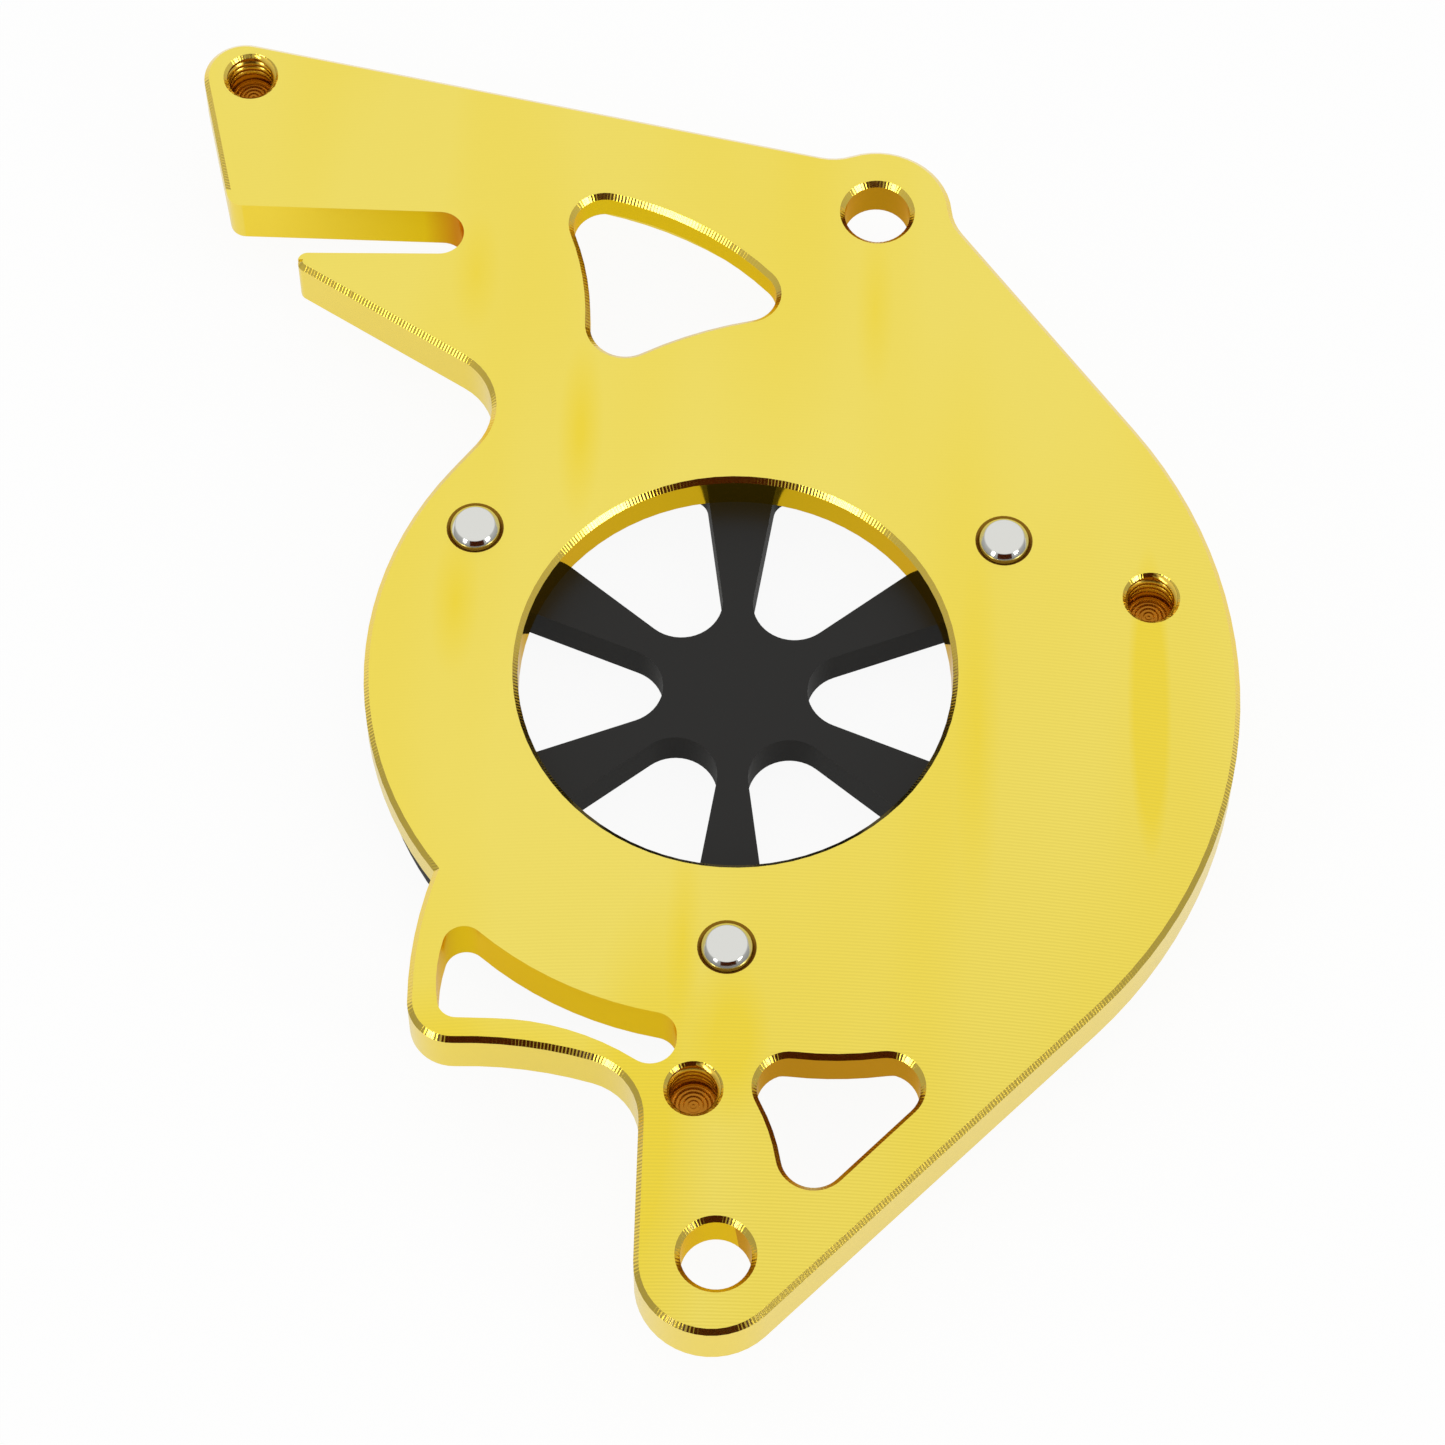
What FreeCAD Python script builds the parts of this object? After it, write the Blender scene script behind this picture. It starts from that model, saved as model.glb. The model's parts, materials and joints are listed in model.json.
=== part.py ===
import FreeCAD, Part
import math
import os

# All sizes are millimetres. The sprocket axis is z and the joint between plate and disc is z = 0.
# The machined back of the plate faces +z, the outer side with disc and screw heads faces -z.

# Plate stock, the recess that seats the disc, the bevel round the plate's edges, and how far
# a cutter runs out past a face
plate_thick = 7.5
seat_depth = 2.5
edge_bevel = 0.6
overcut = 1.0
back = plate_thick - seat_depth
front = -seat_depth

# Sprocket opening and the ring that holds the disc
bore_radius = 25.5
rim_radius = 43.5
rim_step = 0.9
seat_play = 0.5
screw_inset = 7.3
screw_circle_radius = rim_radius - screw_inset

# Mounting holes, bevelled at the back and counterbored for bolt heads in front
mount_hole_radius = 4.0
counterbore_radius = 6.5
counterbore_depth = 2.0
upper_lug_radius = 9.15
upper_lug_blend = 6.7

# Blind tapped holes in the back face
thread_radius = 3.0
thread_depth = 4.3
thread_mouth = 0.4
pilot_radius = 2.5
pilot_depth = 4.7

# Steps milled round two windows on the outer side, as growth of the window and depth
upper_step = (1.23, 3.7)
lower_right_step = (1.14, 2.35)

# Six spoke disc
disc_thick = 6.0
disc_radius = rim_radius - rim_step
spoke_count = 6
hub_radius = 8.5
disc_window_radius = 29.0
disc_window_half_angle = 21.5
disc_window_corner = 2.0
disc_bevel = 0.8

# Button head screws through the disc into the plate
screw_angles = {"screw_left": 150, "screw_right": 30, "screw_bottom": 270}
screw_length = 12.0
screw_play = 0.05
disc_screw_play = 0.3
head_radius = 5.25
head_height = 3.3
head_dome = 2.4
socket_width = 4.0
socket_depth = 2.1
tip_flat_radius = 2.1
tip_bevel_height = 0.5
tip_round = 0.6


def polar(radius, degrees):
    angle = math.radians(degrees)
    return (radius * math.cos(angle), radius * math.sin(angle))


# Point at a distance outside the rim that holds the disc
def off_rim(distance, degrees):
    return polar(rim_radius + distance, degrees)


upper_mount_hole = (15.70, 64.17)
lower_mount_hole = off_rim(30.34, 269.85)
tapped_holes = [(-62.40, 82.10), off_rim(6.42, 12.53), off_rim(10.54, 266.51)]

# Plate outline, clockwise seen from the back: corner point, corner radius, and the
# radius of the side that follows (0 straight, plus bulges out, minus hollows in)
plate_outline = [
    ((-69.94, 88.70), 5.0, 0),              # top left of the finger
    ((19.70, 70.12), 0, 0),                 # under the upper mounting lug
    (off_rim(14.58, 35.98), 0, 59.23),      # right bulge starts
    (off_rim(16.77, 314.52), 0, 0),         # right bulge ends
    (off_rim(52.95, 264.45), 8.66, 0),      # bottom lug
    (off_rim(9.7, 259.9), 7.5, -50),        # inner corner beside the bottom lug
    (off_rim(17.29, 234.2), 5.2, 50),       # foot of the lower left arm
    (off_rim(0, 218.8), 0, rim_radius),     # notch between arm and rim
    (off_rim(0, 142.6), 0, 0),              # rim ends
    (off_rim(2.0, 125.58), 8.0, 0),         # hollow under the prong
    ((-57.74, 56.19), 1.2, 0),              # prong tip
    ((-37.80, 56.60), 0, -3.0),             # round end of the slot
    ((-37.80, 62.67), 0, 0),
    ((-63.76, 62.95), 2.0, 0),              # lower left of the finger
]

# Corners of the region where the slot keeps its edges square
square_edges = [(-66.0, 55.3), (-31.0, 65.2)]

upper_window = [
    ((-24.18, 66.29), 3.9, 38.89),
    (off_rim(6.32, 82.19), 3.6, -48.58),
    (off_rim(-0.41, 117.71), 4.3, -36.60),
]

lower_left_window = [
    (off_rim(1.46, 226.41), 2.45, -rim_radius),
    (off_rim(1.76, 263.21), 2.7, 0),
    (off_rim(10.86, 264.35), 3.0, -30.0),
    (off_rim(9.36, 240.16), 0, 0),
    (off_rim(12.52, 234.94), 2.2, 18.6),
]

lower_right_window = [
    (off_rim(3.73, 266.72), 3.75, -39.5),
    (off_rim(11.09, 306.77), 3.8, 0),
    (off_rim(27.72, 275.37), 3.7, -23.87),
]


# One side of an outline, straight or an arc
def side(start, end, bow):
    p = FreeCAD.Vector(start[0], start[1], 0)
    q = FreeCAD.Vector(end[0], end[1], 0)
    if bow == 0:
        return Part.makeLine(p, q)
    half = (q - p).Length / 2
    radius = max(abs(bow), half)
    rise = radius - math.sqrt(radius ** 2 - half ** 2)
    ahead = (q - p).normalize()
    outward = FreeCAD.Vector(-ahead.y, ahead.x, 0)
    middle = (p + q) * 0.5 + outward * math.copysign(rise, bow)
    return Part.Arc(p, middle, q).toShape()


# Upright edges of a solid for which a test of (x, y) holds at both ends
def upright_edges(solid, test):
    found = []
    for edge in solid.Edges:
        ends = [vertex.Point for vertex in edge.Vertexes]
        if len(ends) == 2 and abs(ends[0].z - ends[1].z) > 0.5:
            if all(test(end.x, end.y) for end in ends):
                found.append(edge)
    return found


# Solid standing on an outline, with the outline's corner radii
def outline_solid(rows, z_low, height):
    edges = []
    for index, (point, corner, bow) in enumerate(rows):
        following = rows[(index + 1) % len(rows)][0]
        edges.append(side(point, following, bow))
    face = Part.Face(Part.Wire(edges))
    solid = face.extrude(FreeCAD.Vector(0, 0, height))
    solid.translate(FreeCAD.Vector(0, 0, z_low))
    for point, corner, bow in rows:
        if corner > 0:
            at_point = lambda x, y: math.hypot(x - point[0], y - point[1]) < 0.01
            solid = solid.makeFillet(corner, upright_edges(solid, at_point))
    return solid


def cylinder(radius, z_low, height, centre=(0, 0)):
    base = FreeCAD.Vector(centre[0], centre[1], z_low)
    return Part.makeCylinder(radius, height, base)


# Edges that lie in the plane z
def level_edges(solid, z):
    found = []
    for edge in solid.Edges:
        box = edge.BoundBox
        if abs(box.ZMin - z) < 0.001 and abs(box.ZMax - z) < 0.001:
            found.append(edge)
    return found


# Blind hole cut from the back face: bevelled mouth, thread, narrower pilot
def tapped_hole(centre):
    hole = cylinder(thread_radius, back - thread_depth, thread_depth, centre)
    hole = hole.fuse(cylinder(pilot_radius, back - pilot_depth, pilot_depth, centre))
    return hole.fuse(mouth_cone(centre))


def mouth_cone(centre):
    base = FreeCAD.Vector(centre[0], centre[1], back - thread_mouth)
    return Part.makeCone(thread_radius, thread_radius + thread_mouth, thread_mouth, base)


# Step milled into the outer side round a window
def window_step(rows, growth, depth):
    step = outline_solid(rows, front - overcut, depth + overcut)
    middle = step.Solids[0].CenterOfMass
    step.scale(growth, FreeCAD.Vector(middle.x, middle.y, front + depth))
    return step


# Solid plate with its upper lug, before any opening
def plate_blank():
    plate = outline_solid(plate_outline, front, plate_thick)
    lug = cylinder(upper_lug_radius, front, plate_thick, upper_mount_hole)
    lug.rotate(FreeCAD.Vector(*upper_mount_hole, 0), FreeCAD.Vector(0, 0, 1), 220)
    plate = plate.fuse(lug).removeSplitter()
    x0, y0 = upper_mount_hole
    on_lug = lambda x, y: abs(math.hypot(x - x0, y - y0) - upper_lug_radius) < 0.01
    return plate.makeFillet(upper_lug_blend, upright_edges(plate, on_lug))


# The rim's edge in the joint plane, where the seat runs out through the plate's outline
def rim_edges(plate):
    return [edge for edge in level_edges(plate, 0) if abs(edge.BoundBox.XMin + rim_radius) < 0.5]


def through(outline):
    return outline_solid(outline, front - overcut, plate_thick + 2 * overcut)


def through_hole(radius, centre=(0, 0)):
    return cylinder(radius, front - overcut, plate_thick + 2 * overcut, centre)


def back_plate():
    blank = plate_blank()
    plate = blank.cut(through(upper_window)).cut(through(lower_right_window))
    plate = plate.cut(through_hole(bore_radius))
    for centre in (upper_mount_hole, lower_mount_hole):
        plate = plate.cut(through_hole(mount_hole_radius, centre))
    plate = plate.makeChamfer(edge_bevel, level_edges(plate, back))
    low, high = square_edges
    keep = Part.makeBox(high[0] - low[0], high[1] - low[1], plate_thick, FreeCAD.Vector(*low, front))
    plate = plate.fuse(blank.common(keep)).removeSplitter()
    plate = plate.cut(through(lower_left_window))
    plate = plate.makeChamfer(edge_bevel, level_edges(plate, front))
    plate = plate.cut(cylinder(rim_radius + seat_play, front - overcut, seat_depth + overcut))
    plate = plate.makeChamfer(edge_bevel, rim_edges(plate))
    plate = plate.cut(window_step(upper_window, *upper_step))
    plate = plate.cut(window_step(lower_right_window, *lower_right_step))
    sunk = counterbore_depth + overcut
    for centre in (upper_mount_hole, lower_mount_hole):
        plate = plate.cut(cylinder(counterbore_radius, front - overcut, sunk, centre))
    for centre in tapped_holes:
        plate = plate.cut(tapped_hole(centre))
    for degrees in screw_angles.values():
        centre = polar(screw_circle_radius, degrees)
        plate = plate.cut(through_hole(thread_radius, centre))
        plate = plate.cut(mouth_cone(centre))
    return plate


# Opening between two spokes: round inner end, sides that point at the axis, arc outside
def disc_window(degrees):
    half = disc_window_half_angle
    sine = math.sin(math.radians(half))
    round_centre = hub_radius / (1 - sine)
    touch = round_centre * math.cos(math.radians(half))
    rows = [
        (polar(touch, degrees + half), 0, 0),
        (polar(disc_window_radius, degrees + half), disc_window_corner, disc_window_radius),
        (polar(disc_window_radius, degrees - half), disc_window_corner, 0),
        (polar(touch, degrees - half), 0, round_centre * sine),
    ]
    return outline_solid(rows, -disc_thick - overcut, disc_thick + 2 * overcut)


def front_disc():
    disc = cylinder(disc_radius, -disc_thick, disc_thick)
    for index in range(spoke_count):
        disc = disc.cut(disc_window(360 / spoke_count * index))
    disc = disc.makeChamfer(disc_bevel, level_edges(disc, -disc_thick))
    hole_radius = thread_radius + disc_screw_play
    for degrees in screw_angles.values():
        centre = polar(screw_circle_radius, degrees)
        disc = disc.cut(cylinder(hole_radius, -disc_thick - overcut, disc_thick + 2 * overcut, centre))
    return disc


def hexagon_prism(width, z_low, height):
    corners = [FreeCAD.Vector(*polar(width / math.sqrt(3), 60 * k), z_low) for k in range(7)]
    return Part.Face(Part.makePolygon(corners)).extrude(FreeCAD.Vector(0, 0, height))


# Button head screw turned about the z axis: domed head under z = -disc_thick, shank up
# through both plates, and a bevelled tip standing proud of the back face
def screw():
    seat = -disc_thick
    low = seat - head_height
    top = seat + screw_length
    shank_radius = thread_radius - screw_play
    dome_middle = head_dome * math.sqrt(0.5)
    point = lambda radius, z: FreeCAD.Vector(radius, 0, z)
    dome = Part.Arc(
        point(head_radius - head_dome, low),
        point(head_radius - head_dome + dome_middle, low + head_dome - dome_middle),
        point(head_radius, low + head_dome),
    )
    turned = [
        point(head_radius, low + head_dome),
        point(head_radius, seat),
        point(shank_radius, seat),
        point(shank_radius, top - tip_bevel_height),
        point(tip_flat_radius, top),
        point(0, top),
        point(0, low),
        point(head_radius - head_dome, low),
    ]
    section = Part.Face(Part.Wire([dome.toShape()] + Part.makePolygon(turned).Edges))
    body = section.revolve(FreeCAD.Vector(0, 0, 0), FreeCAD.Vector(0, 0, 1), 360)
    body = body.makeFillet(tip_round, level_edges(body, top - tip_bevel_height))
    return body.cut(hexagon_prism(socket_width, low, socket_depth))


os.makedirs("parts", exist_ok=True)
back_plate().exportStep("parts/back_plate.step")
front_disc().exportStep("parts/front_disc.step")
for name, degrees in screw_angles.items():
    placed = screw()
    placed.translate(FreeCAD.Vector(*polar(screw_circle_radius, degrees), 0))
    placed.exportStep("parts/" + name + ".step")
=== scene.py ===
import json
import math

import bmesh
import bpy
from mathutils import Matrix, Vector


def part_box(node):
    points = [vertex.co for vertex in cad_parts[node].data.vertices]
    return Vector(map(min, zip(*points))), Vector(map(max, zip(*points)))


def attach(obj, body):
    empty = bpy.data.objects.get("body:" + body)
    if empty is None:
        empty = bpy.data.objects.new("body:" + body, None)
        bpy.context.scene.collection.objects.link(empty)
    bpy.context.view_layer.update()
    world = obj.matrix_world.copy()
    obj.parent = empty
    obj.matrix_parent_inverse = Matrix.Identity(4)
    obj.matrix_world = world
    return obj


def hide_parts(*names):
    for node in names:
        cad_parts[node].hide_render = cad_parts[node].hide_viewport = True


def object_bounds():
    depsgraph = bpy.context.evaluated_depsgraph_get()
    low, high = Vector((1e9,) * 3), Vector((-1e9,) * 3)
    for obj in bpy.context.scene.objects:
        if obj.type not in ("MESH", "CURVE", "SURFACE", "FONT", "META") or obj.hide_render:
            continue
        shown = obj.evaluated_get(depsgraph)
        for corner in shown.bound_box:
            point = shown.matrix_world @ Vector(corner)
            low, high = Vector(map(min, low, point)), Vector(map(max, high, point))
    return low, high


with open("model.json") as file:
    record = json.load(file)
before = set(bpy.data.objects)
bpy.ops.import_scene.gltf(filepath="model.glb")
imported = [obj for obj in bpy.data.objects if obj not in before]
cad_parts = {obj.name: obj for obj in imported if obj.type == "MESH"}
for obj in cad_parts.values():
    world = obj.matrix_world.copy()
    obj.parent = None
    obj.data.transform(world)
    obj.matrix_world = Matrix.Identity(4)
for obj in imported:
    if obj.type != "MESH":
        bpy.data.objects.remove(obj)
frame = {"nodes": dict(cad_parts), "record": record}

mm = 0.001
waveRepeat = 0.314    # length over which a wave texture of scale 1 repeats
screwNodes = ("screw_left", "screw_right", "screw_bottom")
nodes = frame["nodes"]
mounts = {mount["name"]: mount for mount in frame["record"]["mounts"]}
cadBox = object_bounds()
bpy.context.scene.view_settings.view_transform = "Standard"
print("frame loaded:", ", ".join(sorted(nodes)))


def toLinear(hexColour):
    channels = [int(hexColour[i:i + 2], 16) / 255 for i in (1, 3, 5)]
    linear = [c / 12.92 if c <= 0.04045 else ((c + 0.055) / 1.055) ** 2.4 for c in channels]
    return (*linear, 1.0)


# adds a node, sets its fields, then fills or links its inputs by name, identifier or number;
# a node given as an input stands for its first output
def addNode(tree, kind, inputs=None, **fields):
    node = tree.nodes.new(kind)
    for field, value in fields.items():
        setattr(node, field, value)
    sockets = {socket.identifier: socket for socket in node.inputs}
    for place, value in (inputs or {}).items():
        socket = sockets.get(place) or node.inputs[place]
        if isinstance(value, bpy.types.Node):
            value = next(output for output in value.outputs if output.enabled)
        if isinstance(value, bpy.types.NodeSocket):
            tree.links.new(value, socket)
        else:
            socket.default_value = value
    return node


def newMaterial(name):
    material = bpy.data.materials.new(name)
    material.use_nodes = True
    material.node_tree.nodes.clear()
    return material, material.node_tree


# Gold anodised aluminium

goldLook = {
    "face": "#F5E269",         # clear pale gold, as the light falls on the milled back
    "faceWarm": "#F4DB44",     # slightly deeper patches, in soft upright streaks
    "bevel": "#F0D044",
    "outerWall": "#F6DC4E",
    "innerWall": "#EACB22",    # painted shade for light that goes from wall to wall inside the openings and comes out deeper
    "deepWall": "#C08E06",     # painted shade, deepest in the lower right window
    "slotEnd": "#D08A08",      # painted shade, deepest at the closed end of the slot
    "boreWall": "#E0BA2C",
    # painted shade on the bevels round the screw tips
    "screwSeat": "#9C7218",
    "glancing": "#FFDE62",     # what walls inside an opening mirror at a glancing angle
    "thread": "#E8C244",
    "holeBottom": "#B4741A",   # painted shade on the floors of the blind holes
    "faceRoughness": 0.38,
    "bevelRoughness": 0.12,
    "wallRoughness": 0.26,
    "boreRoughness": 0.08,
    "threadRoughness": 0.2,
    "millingPitch": 0.42,      # mm between the cutter's feed lines, drawn as fine as they show
    "millingRadius": 420,      # mm, the feed lines are very flat arcs
    "millingDepth": 0.0006,    # mm
    "millingLine": "#D2BA3C",
    "millingTint": 0.3,        # share of that colour in the lines, where they show most
    "markedLeast": 0.03,       # share elsewhere
    "markedSide": (0.6, -0.8, 0),      # the lower right, where they show most
    "markedReach": 60,         # mm from the sprocket axis to their full share
    "ribPitch": 0.42,          # mm along a bevel between the cutter's chatter ribs
    "ribDepth": 0.013,         # mm
    "waveSize": 3.0,           # mm, faint waviness of the side milled walls
    "waveDepth": 0.01,         # mm
    "streakWidth": 16,         # mm across the soft streaks
    "streakShrink": 0.22,      # scale of their pattern lengthwise, which draws them out
    "streakSpan": (0.42, 1.1),         # noise levels at the face colour and at the warm one
    "slotShades": (-59, -40, -36),     # mm in x of the wall's painted shade: open end, where the wall is deep, closed end
    # deeper streaks at given places: x, y, half width and half length in mm, share
    "runs": [
        (48.4, -3.0, 2.6, 21.0, 2.4),
        (15.6, 50.0, 2.4, 13.0, 0.6),
        (-19.4, 32.0, 2.8, 13.0, 1.0),
        (-33.2, 8.0, 3.0, 10.0, 0.8),
        (28.4, -8.0, 2.8, 26.0, 0.5),
        (-5.0, -35.0, 2.2, 14.0, 0.7),
        (0.4, -48.0, 5.0, 11.0, 1.2),
        (-33.0, 54.0, 3.0, 9.0, 0.6),
        (-8.5, -62.0, 8.0, 34.0, 1.3),
        (-26.0, -50.0, 22.0, 9.0, 0.9),
    ],
}

# the oxide over the bright metal is clear and dyed, so the metal shows through tinted
# and the oxide adds a thin white sheen of its own
oxide = {"Metallic": 1.0, "Coat Weight": 0.1, "Coat Roughness": 0.12, "Coat IOR": 1.6}


def goldFace():
    # fly cut back: very fine arcs from the cutter, otherwise even
    material, tree = newMaterial("gold anodised aluminium, milled face")
    coords = addNode(tree, "ShaderNodeTexCoord").outputs["Object"]
    stretched = addNode(tree, "ShaderNodeMapping", {
        "Vector": coords,
        "Scale": (1, goldLook["streakShrink"], 1),
    })
    streaks = addNode(tree, "ShaderNodeTexNoise", {
        "Vector": stretched,
        "Scale": 1 / (goldLook["streakWidth"] * mm),
        "Detail": 1.0,
    })
    least, most = goldLook["streakSpan"]
    share = addNode(tree, "ShaderNodeMapRange", {"Value": streaks, "From Min": least, "From Max": most})
    for x, y, halfWidth, halfLength, strength in goldLook["runs"]:
        around = addNode(tree, "ShaderNodeMapping", {
            "Vector": coords,
            "Location": (-x / halfWidth, -y / halfLength, 0),
            "Scale": (1 / (halfWidth * mm), 1 / (halfLength * mm), 0),
        })
        run = addNode(tree, "ShaderNodeTexGradient", {"Vector": around}, gradient_type="SPHERICAL")
        deeper = addNode(tree, "ShaderNodeMath", {
            0: run,
            1: strength,
        }, operation="MULTIPLY", use_clamp=True)
        share = addNode(tree, "ShaderNodeMath", {0: deeper, 1: share}, operation="ADD", use_clamp=True)
    cutterAxis = (0, goldLook["millingRadius"] * mm, 0)
    shifted = addNode(tree, "ShaderNodeMapping", {"Vector": coords, "Location": cutterAxis})
    arcs = addNode(tree, "ShaderNodeTexWave", {
        "Vector": shifted,
        "Scale": waveRepeat / (goldLook["millingPitch"] * mm),
        "Distortion": 0.6,
        "Detail": 1.0,
    }, wave_type="RINGS", rings_direction="Z")
    colour = addNode(tree, "ShaderNodeMix", {
        "Factor": share,
        "A_Color": toLinear(goldLook["face"]),
        "B_Color": toLinear(goldLook["faceWarm"]),
    }, data_type="RGBA")
    # feed lines are drawn a little deeper in colour, most of all at the lower right
    corner = addNode(tree, "ShaderNodeVectorMath", {
        0: coords,
        1: goldLook["markedSide"],
    }, operation="DOT_PRODUCT")
    marked = addNode(tree, "ShaderNodeMapRange", {
        "Value": corner.outputs["Value"],
        "From Min": 0,
        "From Max": goldLook["markedReach"] * mm,
        "To Min": goldLook["markedLeast"],
        "To Max": goldLook["millingTint"],
    })
    lines = addNode(tree, "ShaderNodeMath", {0: arcs, 1: marked}, operation="MULTIPLY")
    lined = addNode(tree, "ShaderNodeMix", {
        "Factor": lines,
        "A_Color": colour,
        "B_Color": toLinear(goldLook["millingLine"]),
    }, data_type="RGBA")
    bump = addNode(tree, "ShaderNodeBump", {"Height": arcs, "Distance": goldLook["millingDepth"] * mm})
    shader = addNode(tree, "ShaderNodeBsdfPrincipled", {
        **oxide,
        "Base Color": lined,
        "Roughness": goldLook["faceRoughness"],
        "Normal": bump,
    })
    addNode(tree, "ShaderNodeOutputMaterial", {"Surface": shader})
    return material


def goldBevel():
    # end milled bevel: ribs across it from the cutter's teeth, bright and sharper than the face
    material, tree = newMaterial("gold anodised aluminium, milled bevel")
    ribs = addNode(tree, "ShaderNodeTexWave", {
        "Vector": addNode(tree, "ShaderNodeUVMap", uv_map="alongEdge"),
        "Scale": waveRepeat / goldLook["ribPitch"],
        "Distortion": 2.5,
        "Detail": 2.0,
    }, wave_type="BANDS", bands_direction="X")
    bump = addNode(tree, "ShaderNodeBump", {"Height": ribs, "Distance": goldLook["ribDepth"] * mm})
    shader = addNode(tree, "ShaderNodeBsdfPrincipled", {
        **oxide,
        "Coat Weight": 1.0,
        "Base Color": toLinear(goldLook["bevel"]),
        "Roughness": goldLook["bevelRoughness"],
        "Normal": bump,
    })
    addNode(tree, "ShaderNodeOutputMaterial", {"Surface": shader})
    return material


def goldWall(name, colour, roughness, glancing="#FFFFFF"):
    # side milled wall: smooth, with a faint waviness that bends what it mirrors
    material, tree = newMaterial(name)
    waves = addNode(tree, "ShaderNodeTexNoise", {
        "Vector": addNode(tree, "ShaderNodeTexCoord").outputs["Object"],
        "Scale": 1 / (goldLook["waveSize"] * mm),
        "Detail": 1.0,
    })
    bump = addNode(tree, "ShaderNodeBump", {"Height": waves, "Distance": goldLook["waveDepth"] * mm})
    shader = addNode(tree, "ShaderNodeBsdfPrincipled", {
        **oxide,
        "Base Color": toLinear(colour),
        "Specular Tint": toLinear(glancing),
        "Roughness": roughness,
        "Normal": bump,
    })
    addNode(tree, "ShaderNodeOutputMaterial", {"Surface": shader})
    return material


def goldSlotWall():
    # side milled wall of the slot in painted shade: as bright as the outside at its open end, deeper
    # further in
    material, tree = newMaterial("gold anodised aluminium, milled slot wall")
    coords = addNode(tree, "ShaderNodeTexCoord").outputs["Object"]
    place = addNode(tree, "ShaderNodeSeparateXYZ", {0: coords})
    openEnd, deepPlace, closedEnd = goldLook["slotShades"]
    inward = addNode(tree, "ShaderNodeMapRange", {
        "Value": place.outputs["X"],
        "From Min": openEnd * mm,
        "From Max": deepPlace * mm,
    })
    atEnd = addNode(tree, "ShaderNodeMapRange", {
        "Value": place.outputs["X"],
        "From Min": deepPlace * mm,
        "From Max": closedEnd * mm,
    })
    along = addNode(tree, "ShaderNodeMix", {
        "Factor": inward,
        "A_Color": toLinear(goldLook["outerWall"]),
        "B_Color": toLinear(goldLook["innerWall"]),
    }, data_type="RGBA")
    deep = addNode(tree, "ShaderNodeMix", {
        "Factor": atEnd,
        "A_Color": along,
        "B_Color": toLinear(goldLook["slotEnd"]),
    }, data_type="RGBA")
    shader = addNode(tree, "ShaderNodeBsdfPrincipled", {
        **oxide,
        "Base Color": deep,
        "Specular Tint": toLinear(goldLook["glancing"]),
        "Roughness": goldLook["wallRoughness"],
    })
    addNode(tree, "ShaderNodeOutputMaterial", {"Surface": shader})
    return material


# merged copy of a CAD node that shades smoothly, with creases where faces turn sharply
def smoothCopy(node, name, creaseDegrees=24):
    source = nodes[node]
    mesh = source.data.copy()
    mesh.name = name
    form = bmesh.new()
    form.from_mesh(mesh)
    bmesh.ops.remove_doubles(form, verts=form.verts, dist=0.002 * mm)
    bmesh.ops.dissolve_degenerate(form, edges=form.edges, dist=0.001 * mm)
    form.to_mesh(mesh)
    form.free()
    mesh.materials.clear()
    if "custom_normal" in mesh.attributes:
        mesh.attributes.remove(mesh.attributes["custom_normal"])
    mesh.shade_smooth()
    mesh.set_sharp_from_angle(angle=math.radians(creaseDegrees))
    piece = bpy.data.objects.new(name, mesh)
    bpy.context.scene.collection.objects.link(piece)
    return piece


# closed loops of the edges that tilted and upright faces have at height z
def edgeLoops(mesh, z, steepFrom=0.97):
    level = {vertex.index for vertex in mesh.vertices if abs(vertex.co.z - z) < 0.01 * mm}
    edges = {}    # a dictionary, because it keeps the order they are met in
    for polygon in mesh.polygons:
        if abs(polygon.normal.z) < steepFrom:
            for key in polygon.edge_keys:
                if level.issuperset(key):
                    edges[key] = True
    following = {}
    for a, b in edges:
        following.setdefault(a, []).append(b)
        following.setdefault(b, []).append(a)
    loops = []
    while following:
        start = next(iter(following))
        loop, here = [start], start
        while following.get(here):
            onward = following[here].pop()
            following[onward].remove(here)
            if not following[here]:
                del following[here]
            loop.append(onward)
            here = onward
            if here == start:
                break
        following = {key: rest for key, rest in following.items() if rest}
        if len(loop) > 3:
            loops.append([mesh.vertices[v].co.copy() for v in loop])
    return loops


# place along the nearest loop, in mm, and that loop's whole length
def placeAlong(point, loops):
    best = None
    for loop in loops:
        run = 0.0
        for a, b in zip(loop, loop[1:]):
            step = b - a
            length = step.length
            share = 0.0 if length == 0 else max(0.0, min(1.0, (point - a).dot(step) / length ** 2))
            gap = (a + step * share - point).length
            if best is None or gap < best[0]:
                best = (gap, run + share * length, loop)
            run += length
    total = sum((b - a).length for a, b in zip(best[2], best[2][1:]))
    return best[1] / mm, total / mm


# UV map whose u runs along the bevel in mm, so that ribs can lie across it
def mapAlongEdges(mesh, bevelSlot):
    layer = mesh.uv_layers.new(name="alongEdge")
    heights = sorted({round(vertex.co.z / mm, 2) for vertex in mesh.vertices})
    loops = edgeLoops(mesh, heights[-1] * mm) + edgeLoops(mesh, heights[0] * mm)
    known = {}
    for polygon in mesh.polygons:
        if polygon.material_index != bevelSlot:
            continue
        places = []
        for vertex in polygon.vertices:
            if vertex not in known:
                known[vertex] = placeAlong(mesh.vertices[vertex].co, loops)
            places.append(known[vertex])
        highest = max(place for place, total in places)
        for corner, (place, total) in zip(polygon.loop_indices, places):
            if highest - place > total / 2:
                place += total
            layer.data[corner].uv = (place, 0)


screwCentres = []    # mm
for node in screwNodes:
    low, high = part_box(node)
    screwCentres.append([(low[axis] + high[axis]) / 2 / mm for axis in (0, 1)])


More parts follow.
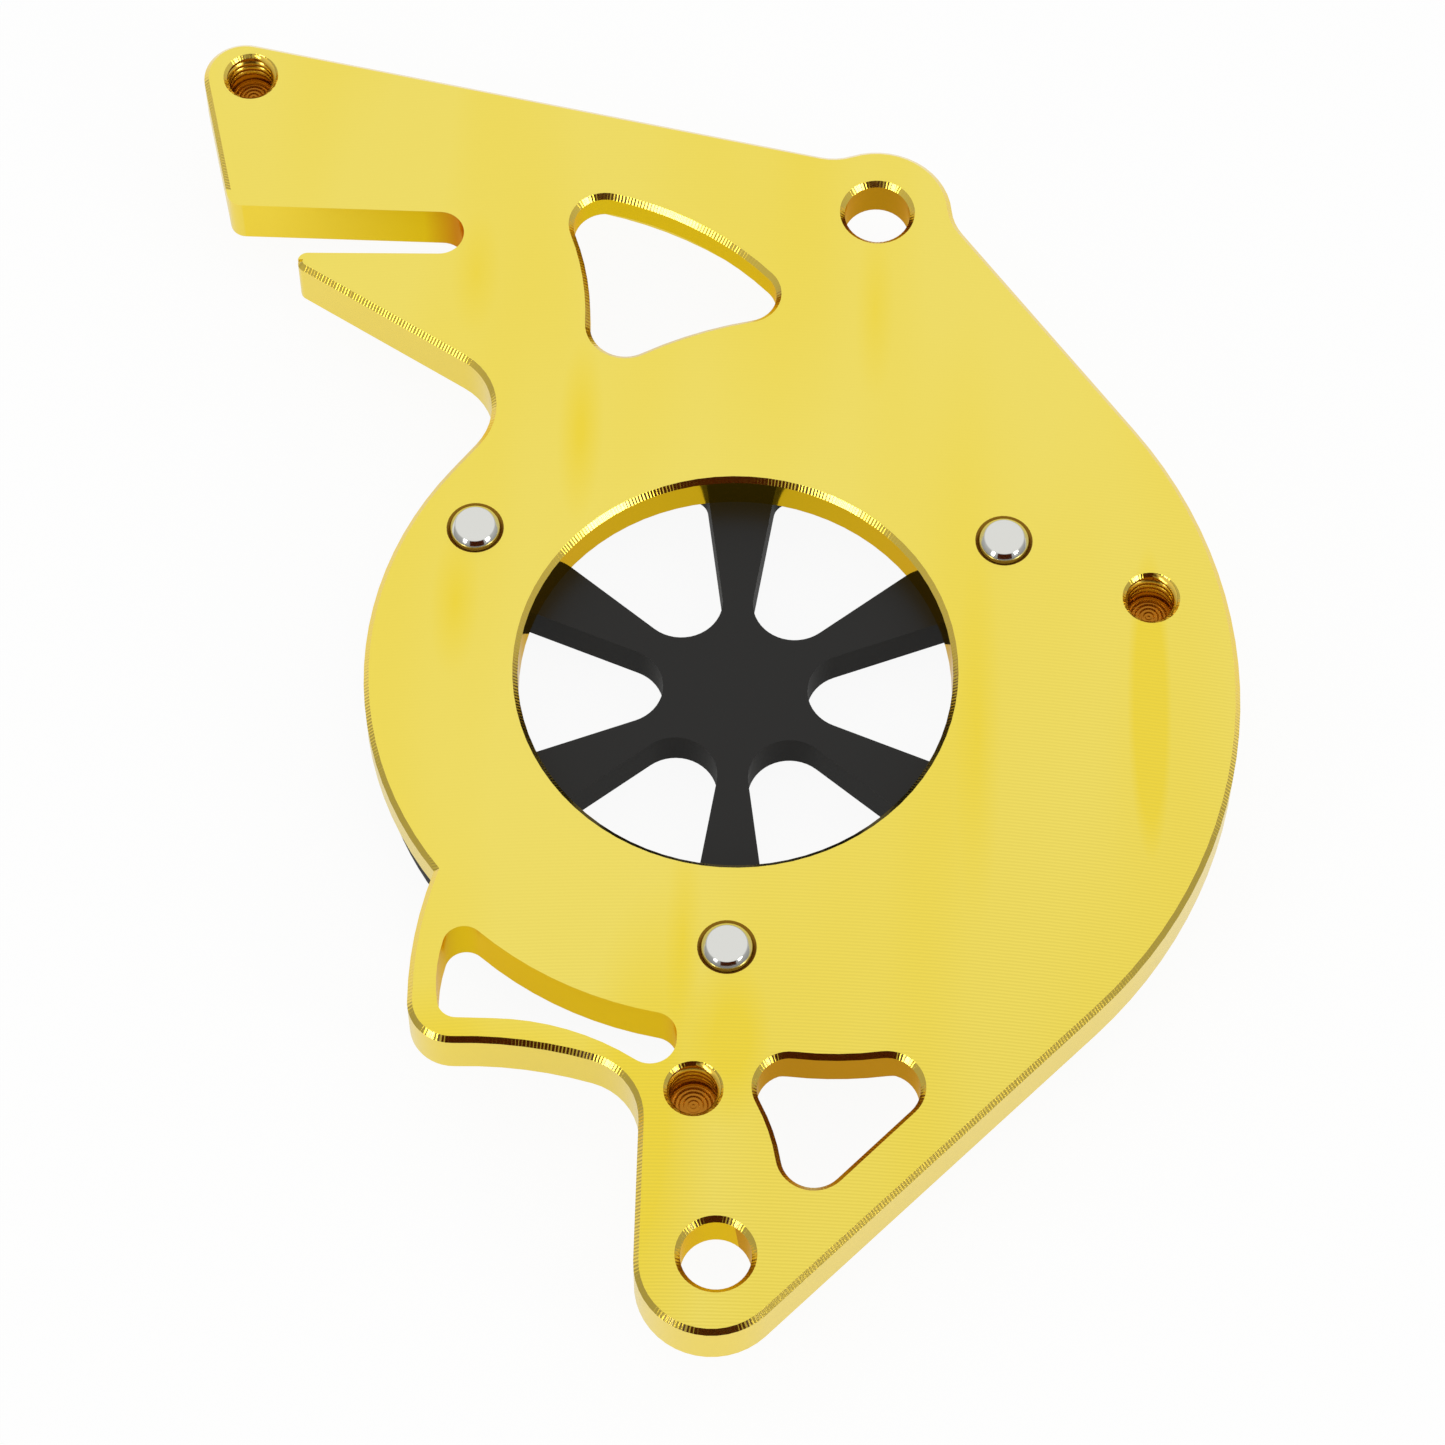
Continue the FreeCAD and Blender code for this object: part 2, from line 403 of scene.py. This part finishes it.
platePlaces = {
    "level": 0.95,                    # a face lies level if its normal's z is above this
    "upright": 0.3,                   # and stands upright if it is below this
    "seatReach": 3.9,                 # mm from a screw's axis to the end of its seat
    "slot": ((-60, -34), (56, 63)),   # mm in x and in y
}


# which finish a face of the plate has, from where it is and how it lies
def plateFinish(polygon, top):
    normal, centre = polygon.normal, polygon.center / mm
    level, upright = platePlaces["level"], platePlaces["upright"]
    # level floors below the back face take a colour of painted shade
    if normal.z > level and centre.z < top - 1:
        return "holeBottom"
    if abs(normal.z) > level:
        return "face"
    toScrew = min(math.dist(centre[:2], middle) for middle in screwCentres)
    # bevels round the screw tips take a colour of painted shade
    if normal.z > upright and toScrew < platePlaces["seatReach"]:
        return "screwSeat"
    if abs(normal.z) > upright:
        return "bevel"
    if abs(math.hypot(centre.x, centre.y) - mounts["sprocket_bore"]["dims"]["r_mm"]) < 0.2:
        return "boreWall"
    if all(low < at < high for at, (low, high) in zip(centre, platePlaces["slot"])):
        return "slotWall"
    return "outerWall"


# walls of openings: upright faces joined to each other in a ring that no outer wall belongs to
def openingWalls(mesh, finishes):
    byVertex = {}
    for polygon in mesh.polygons:
        if finishes[polygon.index] == "outerWall":
            for vertex in polygon.vertices:
                byVertex.setdefault(vertex, []).append(polygon.index)
    seen, rings = set(), []
    for first in finishes:
        if finishes[first] != "outerWall" or first in seen:
            continue
        seen.add(first)
        ring, waiting = [], [first]
        while waiting:
            here = waiting.pop()
            ring.append(here)
            for vertex in mesh.polygons[here].vertices:
                for other in byVertex[vertex]:
                    if other not in seen:
                        seen.add(other)
                        waiting.append(other)
        rings.append(ring)
    outer = max(rings, key=lambda ring: max(mesh.polygons[i].center.length for i in ring))
    return [i for ring in rings if ring is not outer for i in ring]


def buildPlate():
    plate = smoothCopy("back_plate", "backPlate")
    mesh = plate.data
    wall, bore = goldLook["wallRoughness"], goldLook["boreRoughness"]
    glancing = goldLook["glancing"]
    milled = "gold anodised aluminium, milled "
    materials = {
        "face": goldFace(),
        "bevel": goldBevel(),
        "outerWall": goldWall(milled + "outer wall", goldLook["outerWall"], wall),
        "innerWall": goldWall(milled + "opening wall", goldLook["innerWall"], wall, glancing),
        "deepWall": goldWall(milled + "deep wall", goldLook["deepWall"], wall, glancing),
        "slotWall": goldSlotWall(),
        "boreWall": goldWall(milled + "bore", goldLook["boreWall"], bore, glancing),
        "screwSeat": goldWall("gold anodised aluminium, countersunk", goldLook["screwSeat"], wall),
        "holeBottom": goldWall(
            "gold anodised aluminium, drilled bottom", goldLook["holeBottom"], wall, glancing),
    }
    for material in materials.values():
        mesh.materials.append(material)
    top = max(vertex.co.z for vertex in mesh.vertices) / mm
    finishes = {polygon.index: plateFinish(polygon, top) for polygon in mesh.polygons}
    # the walls of openings take colours of painted shade, deepest in the lower right window and the upper
    # right mount hole
    for index in openingWalls(mesh, finishes):
        centre = mesh.polygons[index].center / mm
        lowerRightWindow = centre.x > 2 and centre.y < -46
        upperMountHole = centre.x > 11 and centre.y > 59
        finishes[index] = "deepWall" if lowerRightWindow or upperMountHole else "innerWall"
    slots = {finish: number for number, finish in enumerate(materials)}
    for index, finish in finishes.items():
        mesh.polygons[index].material_index = slots[finish]
    mapAlongEdges(mesh, slots["bevel"])
    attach(plate, "root")
    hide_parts("back_plate")
    print("plate:", len(mesh.polygons), "faces")
    return materials["holeBottom"]


# Black anodised disc

discLook = {
    "black": "#171614",       # dyed black with a trace of brown
    "roughness": 0.38,
    "specular": 0.3,
    "wallRoughness": 0.55,
    "wallSpecular": 0.12,
    "grain": 0.5,             # mm, soft bead blasted grain
    "grainDepth": 0.004,      # mm
}


def blackAnodised(name, roughness, specular):
    # bead blasted before the black dye: satin, no tool marks
    material, tree = newMaterial(name)
    grain = addNode(tree, "ShaderNodeTexNoise", {
        "Vector": addNode(tree, "ShaderNodeTexCoord").outputs["Object"],
        "Scale": 1 / (discLook["grain"] * mm),
        "Detail": 3.0,
    })
    bump = addNode(tree, "ShaderNodeBump", {"Height": grain, "Distance": discLook["grainDepth"] * mm})
    shader = addNode(tree, "ShaderNodeBsdfPrincipled", {
        "Base Color": toLinear(discLook["black"]),
        "Roughness": roughness,
        "Specular IOR Level": specular,
        "Normal": bump,
    })
    addNode(tree, "ShaderNodeOutputMaterial", {"Surface": shader})
    return material


def buildDisc():
    disc = smoothCopy("front_disc", "frontDisc")
    faceLook = discLook["roughness"], discLook["specular"]
    wallLook = discLook["wallRoughness"], discLook["wallSpecular"]
    disc.data.materials.append(blackAnodised("black anodised aluminium, bead blasted face", *faceLook))
    disc.data.materials.append(blackAnodised("black anodised aluminium, bead blasted wall", *wallLook))
    for polygon in disc.data.polygons:
        polygon.material_index = 0 if abs(polygon.normal.z) > platePlaces["upright"] else 1
    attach(disc, "root")
    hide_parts("front_disc")
    print("disc:", len(disc.data.polygons), "faces")


# Turned pieces: one tree turns a profile round the z axis, used for the screws and the hole bottoms

def turnedTree():
    tree = bpy.data.node_groups.new("turned piece", "GeometryNodeTree")
    tree.interface.new_socket("Profile", in_out="INPUT", socket_type="NodeSocketGeometry")
    for name in ("Stations", "Segments"):
        tree.interface.new_socket(name, in_out="INPUT", socket_type="NodeSocketInt")
    for name in ("Socket Width", "Socket Depth", "Socket Floor", "Crease"):
        tree.interface.new_socket(name, in_out="INPUT", socket_type="NodeSocketFloat")
    tree.interface.new_socket("Metal", in_out="INPUT", socket_type="NodeSocketMaterial")
    tree.interface.new_socket("Geometry", in_out="OUTPUT", socket_type="NodeSocketGeometry")
    given = addNode(tree, "NodeGroupInput").outputs
    columns = addNode(tree, "ShaderNodeMath", {0: given["Segments"], 1: 1}, operation="ADD")
    sheet = addNode(tree, "GeometryNodeMeshGrid", {
        "Vertices X": columns,
        "Vertices Y": given["Stations"],
    })
    index = addNode(tree, "GeometryNodeInputIndex")
    station = addNode(tree, "ShaderNodeMath", {0: index, 1: given["Stations"]}, operation="MODULO")
    ahead = addNode(tree, "ShaderNodeMath", {0: index, 1: given["Stations"]}, operation="DIVIDE")
    column = addNode(tree, "ShaderNodeMath", {0: ahead}, operation="FLOOR")
    turned = addNode(tree, "ShaderNodeMath", {0: column, 1: given["Segments"]}, operation="DIVIDE")
    angle = addNode(tree, "ShaderNodeMath", {0: turned, 1: math.tau}, operation="MULTIPLY")
    profile = addNode(tree, "GeometryNodeSampleIndex", {
        "Geometry": given["Profile"],
        "Value": addNode(tree, "GeometryNodeInputPosition"),
        "Index": station,
    }, data_type="FLOAT_VECTOR", domain="POINT")
    place = addNode(tree, "ShaderNodeVectorRotate", {
        "Vector": profile,
        "Angle": angle,
    }, rotation_type="Z_AXIS")
    wound = addNode(tree, "GeometryNodeSetPosition", {"Geometry": sheet, "Position": place})
    closed = addNode(tree, "GeometryNodeMergeByDistance", {"Geometry": wound, "Distance": 0.002 * mm})
    # six sided key socket, as deep below the head's flat as given; none where the width is nought
    across = addNode(tree, "ShaderNodeMath", {
        0: given["Socket Width"],
        1: math.sqrt(3),
    }, operation="DIVIDE")
    twice = addNode(tree, "ShaderNodeMath", {0: given["Socket Depth"], 1: 2.0}, operation="MULTIPLY")
    key = addNode(tree, "GeometryNodeMeshCylinder", {"Vertices": 6, "Radius": across, "Depth": twice})
    lift = addNode(tree, "ShaderNodeCombineXYZ", {"Z": given["Socket Floor"]})
    seated = addNode(tree, "GeometryNodeTransform", {"Geometry": key, "Translation": lift})
    cut = addNode(tree, "GeometryNodeMeshBoolean", {
        "Mesh 1": closed,
        "Mesh 2": seated,
    }, operation="DIFFERENCE")
    wanted = addNode(tree, "FunctionNodeCompare", {
        0: given["Socket Width"],
        1: 0.0,
    }, operation="GREATER_THAN")
    body = addNode(tree, "GeometryNodeSwitch", {
        "Switch": wanted,
        "False": closed,
        "True": cut,
    }, input_type="GEOMETRY")
    bend = addNode(tree, "FunctionNodeCompare", {
        0: addNode(tree, "GeometryNodeInputMeshEdgeAngle"),
        1: given["Crease"],
    }, operation="LESS_THAN")
    rounded = addNode(tree, "GeometryNodeSetShadeSmooth", {
        "Geometry": body,
        "Shade Smooth": True,
    }, domain="FACE")
    creased = addNode(tree, "GeometryNodeSetShadeSmooth", {
        "Geometry": rounded,
        "Shade Smooth": bend,
    }, domain="EDGE")
    solid = addNode(tree, "GeometryNodeRealizeInstances", {"Geometry": creased})
    dressed = addNode(tree, "GeometryNodeSetMaterial", {"Geometry": solid, "Material": given["Metal"]})
    addNode(tree, "NodeGroupOutput", {"Geometry": dressed})
    return tree


# runs a tree on a line of points, none for a tree that starts from nothing, and keeps a plain mesh
def grow(tree, name, values, points=()):
    start = bpy.data.meshes.new(name)
    links = [(i, i + 1) for i in range(len(points) - 1)]
    start.from_pydata([Vector(point) * mm for point in points], links, [])
    holder = bpy.data.objects.new(name, start)
    bpy.context.scene.collection.objects.link(holder)
    modifier = holder.modifiers.new("tree", "NODES")
    modifier.node_group = tree
    for item in tree.interface.items_tree:
        if item.in_out == "INPUT" and item.name in values:
            modifier[item.identifier] = values[item.name]
    bpy.context.view_layer.update()
    evaluated = holder.evaluated_get(bpy.context.evaluated_depsgraph_get())
    mesh = bpy.data.meshes.new_from_object(evaluated)
    holder.modifiers.remove(modifier)
    holder.data = mesh
    return holder


# Screws

screwLook = {
    "steel": "#DFDFDA",       # bright plated steel
    "roughness": 0.1,
    "grain": 0.8,             # mm
    "grainDepth": 0.003,      # mm
    "headRadius": 5.25,       # mm, and all that follow
    "headLow": -9.3,
    "headSeat": -6.0,
    "dome": 2.4,
    "shankRadius": 2.95,
    "top": 6.0,
    "tip": [(2.95, 5.15), (2.9, 5.3), (2.8, 5.44), (2.42, 5.86), (2.32, 5.95), (2.2, 6.0)],
    "socketWidth": 4.0,
    "socketDepth": 2.1,
    "domeSteps": 12,
    "creaseDegrees": 28,
    "segments": 96,
}


def brightSteel():
    # turned and plated: a clean near white metal whose edges flash
    material, tree = newMaterial("zinc plated steel, bright")
    turning = addNode(tree, "ShaderNodeTexNoise", {
        "Vector": addNode(tree, "ShaderNodeTexCoord").outputs["Object"],
        "Scale": 1 / (screwLook["grain"] * mm),
    })
    bump = addNode(tree, "ShaderNodeBump", {"Height": turning, "Distance": screwLook["grainDepth"] * mm})
    shader = addNode(tree, "ShaderNodeBsdfPrincipled", {
        "Base Color": toLinear(screwLook["steel"]),
        "Metallic": 1.0,
        "Roughness": screwLook["roughness"],
        "Normal": bump,
    })
    addNode(tree, "ShaderNodeOutputMaterial", {"Surface": shader})
    return material


def screwProfile():
    low, dome = screwLook["headLow"], screwLook["dome"]
    middle = screwLook["headRadius"] - dome
    profile = [(0, 0, low)]
    steps = screwLook["domeSteps"]
    for step in range(steps + 1):
        angle = math.radians(90 * step / steps)
        profile.append((middle + dome * math.sin(angle), 0, low + dome - dome * math.cos(angle)))
    profile.append((screwLook["headRadius"], 0, screwLook["headSeat"]))
    profile.append((screwLook["shankRadius"], 0, screwLook["headSeat"]))
    profile += [(radius, 0, z) for radius, z in screwLook["tip"]]
    profile.append((0, 0, screwLook["top"]))
    return profile


def buildScrews(tree):
    steel = brightSteel()
    profile = screwProfile()
    for node, (x, y) in zip(screwNodes, screwCentres):
        screw = grow(tree, "visible_" + node, {
            "Stations": len(profile),
            "Segments": screwLook["segments"],
            "Socket Width": screwLook["socketWidth"] * mm,
            "Socket Depth": screwLook["socketDepth"] * mm,
            "Socket Floor": screwLook["headLow"] * mm,
            "Crease": math.radians(screwLook["creaseDegrees"]),
            "Metal": steel,
        }, profile)
        screw.data.transform(Matrix.Translation((x * mm, y * mm, 0)))
        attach(screw, "root")
        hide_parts(node)
    print("screws turned")


# Tapped holes: a helical ridge on each wall and the drill's rings on each bottom

threadLook = {
    "pitch": 1.0,             # mm, M6 coarse, as the photo's stripes in the three holes also measure
    "depth": 0.36,            # mm, shallower than a real thread's
    "flank": 2.6,             # how fast a turn rises to its crest: 2 for a sharp one, more for a flat one
    "endFade": 40.0,          # the ridge dies out over 1 / 40 of its length at either end
    "clearance": 0.01,        # mm between the ridge's foot and the hole's wall
    "mouth": 0.34,            # mm that the turns climb up the bevelled mouth
    "stepsPerTurn": 48,
    "bottomRadius": 2.48,     # mm
    "bottomHeight": 0.32,     # mm
    "ringPitch": 0.5,         # mm between the drill's rings
    "ringDepth": 0.03,        # mm
    "ringStations": 48,
    "ringSegments": 64,
}


def threadTree():
    # a strip wound into a helix: its long edges lie on the hole's wall and its middle stands inward
    tree = bpy.data.node_groups.new("tapped thread", "GeometryNodeTree")
    for name in ("Radius", "Depth", "Pitch", "Height", "Mouth"):
        tree.interface.new_socket(name, in_out="INPUT", socket_type="NodeSocketFloat")
    tree.interface.new_socket("Steps", in_out="INPUT", socket_type="NodeSocketInt")
    tree.interface.new_socket("Metal", in_out="INPUT", socket_type="NodeSocketMaterial")
    tree.interface.new_socket("Geometry", in_out="OUTPUT", socket_type="NodeSocketGeometry")
    given = addNode(tree, "NodeGroupInput").outputs
    strip = addNode(tree, "GeometryNodeMeshGrid", {
        "Size X": 1.0,
        "Size Y": 1.0,
        "Vertices X": given["Steps"],
        "Vertices Y": 5,
    })
    spot = addNode(tree, "ShaderNodeSeparateXYZ", {0: addNode(tree, "GeometryNodeInputPosition")}).outputs
    along = addNode(tree, "ShaderNodeMath", {0: spot["X"], 1: 0.5}, operation="ADD")
    across = addNode(tree, "ShaderNodeMath", {0: 0.5, 1: spot["Y"]}, operation="SUBTRACT")
    rise = addNode(tree, "ShaderNodeMath", {0: given["Height"], 1: given["Pitch"]}, operation="SUBTRACT")
    climbed = addNode(tree, "ShaderNodeMath", {0: along, 1: rise}, operation="MULTIPLY")
    height = addNode(tree, "ShaderNodeMath", {
        0: across,
        1: given["Pitch"],
        2: climbed,
    }, operation="MULTIPLY_ADD")
    turns = addNode(tree, "ShaderNodeMath", {0: climbed, 1: given["Pitch"]}, operation="DIVIDE")
    angle = addNode(tree, "ShaderNodeMath", {0: turns, 1: math.tau}, operation="MULTIPLY")
    flank = addNode(tree, "ShaderNodeMath", {0: across, 1: 0.5}, operation="PINGPONG")
    crest = addNode(tree, "ShaderNodeMath", {
        0: flank,
        1: threadLook["flank"],
    }, operation="MULTIPLY", use_clamp=True)
    nearEnd = addNode(tree, "ShaderNodeMath", {0: along, 1: 0.5}, operation="PINGPONG")
    fade = addNode(tree, "ShaderNodeMath", {
        0: nearEnd,
        1: threadLook["endFade"],
    }, operation="MULTIPLY", use_clamp=True)
    ridge = addNode(tree, "ShaderNodeMath", {0: crest, 1: fade}, operation="MULTIPLY")
    inward = addNode(tree, "ShaderNodeMath", {0: ridge, 1: given["Depth"]}, operation="MULTIPLY")
    mouth = addNode(tree, "ShaderNodeMath", {0: given["Height"], 1: given["Mouth"]}, operation="SUBTRACT")
    above = addNode(tree, "ShaderNodeMath", {0: height, 1: mouth}, operation="SUBTRACT")
    wider = addNode(tree, "ShaderNodeMath", {0: above, 1: 0.0}, operation="MAXIMUM")
    wall = addNode(tree, "ShaderNodeMath", {0: given["Radius"], 1: wider}, operation="ADD")
    radius = addNode(tree, "ShaderNodeMath", {0: wall, 1: inward}, operation="SUBTRACT")
    flat = addNode(tree, "ShaderNodeCombineXYZ", {"X": radius, "Z": height})
    place = addNode(tree, "ShaderNodeVectorRotate", {
        "Vector": flat,
        "Angle": angle,
    }, rotation_type="Z_AXIS")
    wound = addNode(tree, "GeometryNodeSetPosition", {"Geometry": strip, "Position": place})
    smooth = addNode(tree, "GeometryNodeSetShadeSmooth", {"Geometry": wound, "Shade Smooth": True})
    solid = addNode(tree, "GeometryNodeRealizeInstances", {"Geometry": smooth})
    dressed = addNode(tree, "GeometryNodeSetMaterial", {"Geometry": solid, "Material": given["Metal"]})
    addNode(tree, "NodeGroupOutput", {"Geometry": dressed})
    return tree


def threadMetal():
    # threads are cut sharp, so their flanks glint in bright gold
    material, tree = newMaterial("gold anodised aluminium, tapped thread")
    shader = addNode(tree, "ShaderNodeBsdfPrincipled", {
        **oxide,
        "Coat Weight": 0.6,
        "Base Color": toLinear(goldLook["thread"]),
        "Roughness": goldLook["threadRoughness"],
    })
    addNode(tree, "ShaderNodeOutputMaterial", {"Surface": shader})
    return material


def ringProfile():
    profile = []
    count = threadLook["ringStations"]
    for step in range(count, -1, -1):    # from the rim to the middle, so that the rings face up
        radius = threadLook["bottomRadius"] * step / count
        wave = (1 + math.cos(math.tau * radius / threadLook["ringPitch"])) / 2
        profile.append((radius, 0, threadLook["bottomHeight"] + threadLook["ringDepth"] * wave))
    return profile


def buildTappedHoles(tree, bottomMetal):
    thread, metal = threadTree(), threadMetal()
    rings = ringProfile()
    mouth = threadLook["mouth"]
    for name, mount in mounts.items():
        if mount["kind"] != "threaded_hole":
            continue
        height = mount["dims"]["length_mm"] + mouth
        x, y, z = mount["pos_m"]
        ridge = grow(thread, "thread_" + name, {
            "Radius": (mount["dims"]["r_mm"] + threadLook["clearance"]) * mm,
            "Depth": threadLook["depth"] * mm,
            "Pitch": threadLook["pitch"] * mm,
            "Height": height * mm,
            "Mouth": mouth * mm,
            "Steps": int(height / threadLook["pitch"] * threadLook["stepsPerTurn"]),
            "Metal": metal,
        })
        ridge.data.transform(Matrix.Translation((x, y, z - (height - mouth) * mm / 2)))
        bottom = grow(tree, "bottom_" + name, {
            "Stations": len(rings),
            "Segments": threadLook["ringSegments"],
            "Crease": math.pi,
            "Metal": bottomMetal,
        }, rings)
        bottom.data.transform(Matrix.Translation((x, y, 0)))
        for piece in (ridge, bottom):
            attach(piece, "root")
    print("holes tapped")


# Floor, light and camera

studio = {
    "floor": "#F4F4F2",
    "floorSeen": 0.93,        # share of plain white in the floor as the camera sees it
    "floorMirrored": 0.6,     # and as metal mirrors it
    "floorHalf": 3.0,         # metres from its middle to its edge
    "zenith": 0.95,
    "horizon": 0.24,          # darker low down in front, so bevels read deeper than the face
    "upAndBack": (0, 0.3, 1),     # the way in which the room gets lighter
    "fade": (-0.1, 0.7),      # how far that way the horizon's and the zenith's levels lie
    "dark": "#4A1E06",        # warm dark room behind the camera
    "boxes": {                # softboxes: degrees from the front, height, size in mm, brightness
        "right softbox": (57, 500, (330, 320), 6.5),
        "left softbox": (-44, 500, (240, 320), 6.5),
    },
    "boxDistance": 1000,      # mm, as all below
    "cardCentre": (75, -620, 335),
    "cardSize": (730, 300),
}


def buildFloor():
    low = cadBox[0][2]
    half = studio["floorHalf"]
    mesh = bpy.data.meshes.new("floor")
    corners = [(-half, -half, low), (half, -half, low), (half, half, low), (-half, half, low)]
    mesh.from_pydata(corners, [], [(0, 1, 2, 3)])
    floor = bpy.data.objects.new("floor", mesh)
    bpy.context.scene.collection.objects.link(floor)
    material, tree = newMaterial("matt white paper")
    path = addNode(tree, "ShaderNodeLightPath").outputs
    seen = addNode(tree, "ShaderNodeMath", {
        0: path["Is Camera Ray"],
        1: path["Is Transmission Ray"],
    }, operation="MAXIMUM")
    seenShare = addNode(tree, "ShaderNodeMath", {0: seen, 1: studio["floorSeen"]}, operation="MULTIPLY")
    share = addNode(tree, "ShaderNodeMath", {
        0: path["Is Glossy Ray"],
        1: studio["floorMirrored"],
        2: seenShare,
    }, operation="MULTIPLY_ADD")
    mixed = addNode(tree, "ShaderNodeMixShader", {
        0: share,
        1: addNode(tree, "ShaderNodeBsdfDiffuse", {"Color": toLinear(studio["floor"])}),
        2: addNode(tree, "ShaderNodeEmission", {"Color": (1, 1, 1, 1), "Strength": 1.0}),
    })
    addNode(tree, "ShaderNodeOutputMaterial", {"Surface": mixed})
    mesh.materials.append(material)


# even light from above and behind that fades towards the front horizon; plain white for the camera
def buildWorld():
    world = bpy.data.worlds.new("studio")
    bpy.context.scene.world = world
    world.use_nodes = True
    tree = world.node_tree
    tree.nodes.clear()
    direction = addNode(tree, "ShaderNodeTexCoord").outputs["Generated"]
    upAndBack = addNode(tree, "ShaderNodeVectorMath", {
        0: direction,
        1: studio["upAndBack"],
    }, operation="DOT_PRODUCT")
    low, high = studio["fade"]
    level = addNode(tree, "ShaderNodeMapRange", {
        "Value": upAndBack.outputs["Value"],
        "From Min": low,
        "From Max": high,
        "To Min": studio["horizon"],
        "To Max": studio["zenith"],
    })
    mixed = addNode(tree, "ShaderNodeMixShader", {
        0: addNode(tree, "ShaderNodeLightPath").outputs["Is Camera Ray"],
        1: addNode(tree, "ShaderNodeBackground", {"Color": (1, 1, 1, 1), "Strength": level}),
        2: addNode(tree, "ShaderNodeBackground", {"Color": (1, 1, 1, 1), "Strength": 1.0}),
    })
    addNode(tree, "ShaderNodeOutputWorld", {"Surface": mixed})


# softboxes to the left and right of the camera draw the white flashes on the bevels
def buildSoftboxes():
    for name, (turnDegrees, height, size, brightness) in studio["boxes"].items():
        light = bpy.data.lights.new(name, "AREA")
        light.shape = "RECTANGLE"
        light.size, light.size_y = size[0] * mm, size[1] * mm
        light.energy = brightness * math.pi * light.size * light.size_y
        box = bpy.data.objects.new(name, light)
        bpy.context.scene.collection.objects.link(box)
        turn = math.radians(turnDegrees)
        reach = studio["boxDistance"]
        place = Vector((reach * math.sin(turn), -reach * math.cos(turn), height)) * mm
        box.matrix_world = Matrix.Translation(place) @ place.to_track_quat("Z", "Y").to_matrix().to_4x4()
        box.visible_camera = False


cameraPlace = {
    "at": (6.3745, -304.618, 561.466),        # mm
    "right": (0.999616, 0.0276883, 0.000999),
    "up": (-0.0248892, 0.8815532, 0.4714281),
    "fieldOfView": 15.175,
}


def buildCamera():
    camera = bpy.data.cameras.new("camera")
    camera.sensor_width = 36
    camera.angle = math.radians(cameraPlace["fieldOfView"])
    camera.clip_start = 0.01
    holder = bpy.data.objects.new("camera", camera)
    bpy.context.scene.collection.objects.link(holder)
    right = Vector(cameraPlace["right"]).normalized()
    up = Vector(cameraPlace["up"]).normalized()
    back = right.cross(up)
    turn = Matrix((right, up, back)).transposed().to_4x4()
    holder.matrix_world = Matrix.Translation(Vector(cameraPlace["at"]) * mm) @ turn
    bpy.context.scene.camera = holder


# dark card below the camera, out of the picture, that the bevels facing down the picture mirror
def buildDarkCard():
    width, height = studio["cardSize"]
    mesh = bpy.data.meshes.new("dark card")
    x, y = width / 2 * mm, height / 2 * mm
    mesh.from_pydata([(-x, -y, 0), (x, -y, 0), (x, y, 0), (-x, y, 0)], [], [(0, 1, 2, 3)])
    place = Vector(studio["cardCentre"]) * mm
    turn = (-place).to_track_quat("Z", "Y").to_matrix().to_4x4()
    mesh.transform(Matrix.Translation(place) @ turn)
    card = bpy.data.objects.new("darkCard", mesh)
    bpy.context.scene.collection.objects.link(card)
    card.visible_camera = False
    material, tree = newMaterial("dark cloth")
    cloth = addNode(tree, "ShaderNodeBsdfDiffuse", {"Color": toLinear(studio["dark"])})
    addNode(tree, "ShaderNodeOutputMaterial", {"Surface": cloth})
    mesh.materials.append(material)


drilledMetal = buildPlate()
buildDisc()
turned = turnedTree()
buildScrews(turned)
buildTappedHoles(turned, drilledMetal)
buildFloor()
buildWorld()
buildSoftboxes()
buildDarkCard()
buildCamera()
print("studio lit, camera placed")
